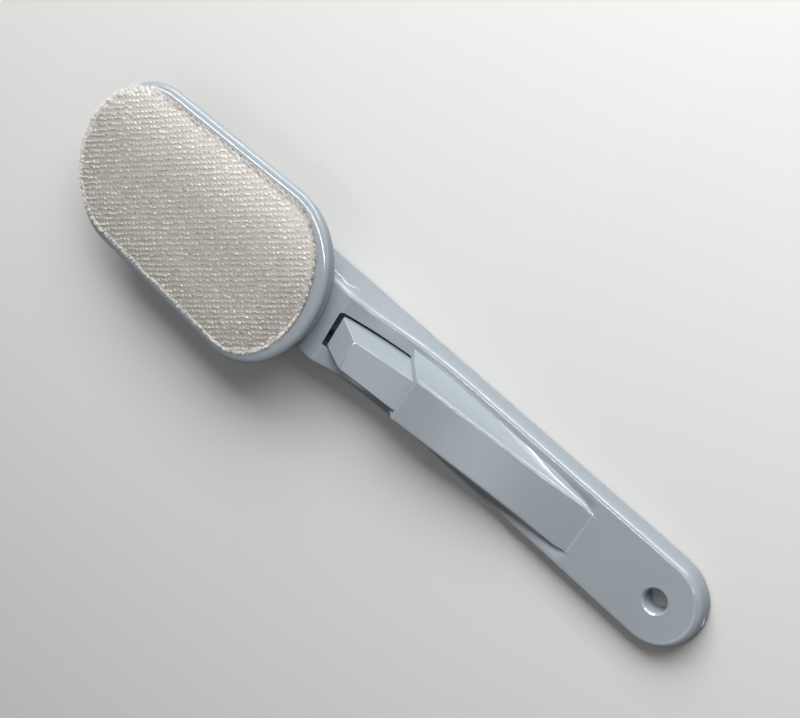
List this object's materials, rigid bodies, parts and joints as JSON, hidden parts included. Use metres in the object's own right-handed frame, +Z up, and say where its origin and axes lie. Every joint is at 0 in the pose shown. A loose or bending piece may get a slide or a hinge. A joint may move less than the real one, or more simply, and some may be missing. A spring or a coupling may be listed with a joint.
{
  "type": "lint brush",
  "caption": "Long flat handle with a sliding button and a swivelling oval head that carries a directional lint pad.",
  "frame": {"origin": "on the surface the brush lies on, under the middle of its length and width", "axes": "+X from the hang hole along the handle to the head, +Z up, away from the flat underside, with the pile side of the head facing up"},
  "size_m": [0.2672, 0.0688, 0.0228],
  "materials": {
    "blue_grey_plastic": "glossy, injection moulded",
    "directional_pile": "short pale pile that leans one way",
    "grey_board": "matt sheet",
    "white_acetal": "smooth and matt",
    "dark_nylon": "smooth and matt",
    "bright_steel": "plain"
  },
  "bodies": {
    "handle": {"handle_cover": "blue_grey_plastic", "handle_base": "blue_grey_plastic", "bar_spring": "bright_steel", "swivel_ring": "white_acetal", "wave_washer": "bright_steel", "case_screw_1": "bright_steel", "case_screw_2": "bright_steel", "case_screw_3": "bright_steel", "case_screw_4": "bright_steel"},
    "head": {"head_plate": "blue_grey_plastic", "head_base": "blue_grey_plastic", "pad_backing": "grey_board", "lint_pad": "directional_pile", "index_disc": "dark_nylon", "pivot_washer": "bright_steel", "pivot_screw": "bright_steel", "head_screw_1": "bright_steel", "head_screw_2": "bright_steel", "head_screw_3": "bright_steel", "head_screw_4": "bright_steel"},
    "slider": {"lock_button": "blue_grey_plastic", "lock_bar": "white_acetal"}
  },
  "joints": [
    {"name": "head_swivel", "type": "hinge", "parent": "handle", "child": "head", "pos_m": [0.07985, 0, 0.016], "axis": [0, 0, 1], "range_deg": [0, 180]},
    {"name": "lock_slide", "type": "slide", "parent": "handle", "child": "slider", "axis": [1, 0, 0], "range_m": [0, 0.0015]}
  ]
}
